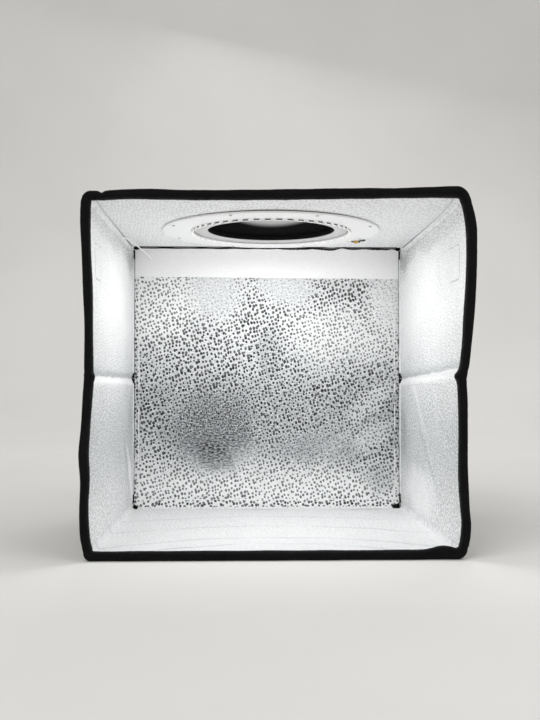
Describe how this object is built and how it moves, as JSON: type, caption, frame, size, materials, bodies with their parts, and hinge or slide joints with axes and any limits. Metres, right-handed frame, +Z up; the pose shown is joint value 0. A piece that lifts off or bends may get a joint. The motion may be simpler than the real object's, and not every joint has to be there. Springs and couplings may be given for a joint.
{
  "type": "light tent cube",
  "caption": "Folding light tent for small products: board-stiffened black fabric cube, open in front, lined with embossed film, with a ring lamp round a flapped shooting hole.",
  "frame": {"origin": "on the surface that the tent stands on, under the middle of its box", "axes": "+Z up, the open front towards -Y, +X to the right seen from the front"},
  "size_m": [0.24, 0.232, 0.229],
  "materials": {
    "shell_fabric": "matt black woven polyester",
    "binding_fabric": "black padded binding with a slight sheen",
    "stiffening_board": "plain grey board",
    "embossed_film": "silver-white film embossed with small pebbles",
    "backdrop_strip": "matt white loop tape",
    "loop_patch": "black loop tape",
    "lamp_board": "white solder resist, satin",
    "lamp_bead": "pale beads, lit",
    "rivet": "small pale domed heads",
    "solder_contact": "bright gold-coloured contact",
    "lead": "black insulation",
    "gland": "black rubber",
    "eyelet": "grey moulded edging",
    "hook_patch": "black hook tape"
  },
  "bodies": {
    "bottom": {"bottom_cover": "shell_fabric", "bottom_board": "stiffening_board", "bottom_lining": "embossed_film", "bottom_left_gusset": "shell_fabric", "bottom_right_gusset": "shell_fabric", "bottom_rear_gusset": "shell_fabric", "bottom_binding": "binding_fabric"},
    "back": {"back_cover": "shell_fabric", "back_board": "stiffening_board", "back_lining": "embossed_film", "backdrop_strip": "backdrop_strip"},
    "left_lower": {"left_lower_cover": "shell_fabric", "left_lower_board": "stiffening_board", "left_lower_lining": "embossed_film", "left_lower_binding": "binding_fabric"},
    "left_upper": {"left_upper_cover": "shell_fabric", "left_upper_board": "stiffening_board", "left_upper_lining": "embossed_film", "left_upper_binding": "binding_fabric", "left_loop_patch": "loop_patch"},
    "right_lower": {"right_lower_cover": "shell_fabric", "right_lower_board": "stiffening_board", "right_lower_lining": "embossed_film", "right_lower_binding": "binding_fabric"},
    "right_upper": {"right_upper_cover": "shell_fabric", "right_upper_board": "stiffening_board", "right_upper_lining": "embossed_film", "right_upper_binding": "binding_fabric", "right_loop_patch": "loop_patch"},
    "top": {"top_cover": "shell_fabric", "top_board": "stiffening_board", "top_lining": "embossed_film", "top_left_gusset": "shell_fabric", "top_right_gusset": "shell_fabric", "top_binding": "binding_fabric", "lamp_board": "lamp_board", "bead_strip": "lamp_bead", "lamp_rivet_1": "rivet", "lamp_rivet_2": "rivet", "lamp_rivet_3": "rivet", "lamp_rivet_4": "rivet", "lamp_rivet_5": "rivet", "lamp_rivet_6": "rivet", "lamp_rivet_7": "rivet", "lamp_rivet_8": "rivet", "lamp_contact_front": "solder_contact", "lamp_contact_rear": "solder_contact", "lamp_lead": "lead", "lead_gland": "gland", "hole_eyelet": "eyelet", "flap_seam": "binding_fabric", "hook_patch_front": "hook_patch", "hook_patch_rear": "hook_patch"},
    "flap": {"hole_flap": "shell_fabric", "flap_tab": "binding_fabric"}
  },
  "joints": [
    {"name": "back_fold", "type": "hinge", "parent": "bottom", "child": "back", "pos_m": [0, 0.1134, 0.0041], "axis": [1, 0, 0], "range_deg": [0, 90]},
    {"name": "wall_fold", "type": "hinge", "parent": "bottom", "child": "left_lower", "pos_m": [-0.1158, 0, 0.0074], "axis": [0, 1, 0], "range_deg": [0, 90]},
    {"name": "left_crease", "type": "hinge", "parent": "left_lower", "child": "left_upper", "pos_m": [-0.1202, 0, 0.1145], "axis": [0, 1, 0], "range_deg": [-180, 0]},
    {"name": "top_left_edge", "type": "hinge", "parent": "left_upper", "child": "top", "pos_m": [-0.1158, 0, 0.2216], "axis": [0, 1, 0], "range_deg": [0, 90]},
    {"name": "top_right_edge", "type": "hinge", "parent": "top", "child": "right_upper", "pos_m": [0.1158, 0, 0.2216], "axis": [0, 1, 0], "range_deg": [0, 90]},
    {"name": "right_crease", "type": "hinge", "parent": "right_upper", "child": "right_lower", "pos_m": [0.1202, 0, 0.1145], "axis": [0, 1, 0], "range_deg": [-180, 0]},
    {"name": "flap_open", "type": "hinge", "parent": "top", "child": "flap", "pos_m": [-0.05815, 0, 0.22875], "axis": [0, -1, 0], "range_deg": [0, 180]}
  ],
  "couplings": [
    {"joint": "left_crease", "follows": "wall_fold", "ratio": -2},
    {"joint": "top_left_edge", "follows": "wall_fold", "ratio": 1},
    {"joint": "top_right_edge", "follows": "wall_fold", "ratio": 1},
    {"joint": "right_crease", "follows": "wall_fold", "ratio": -2}
  ]
}
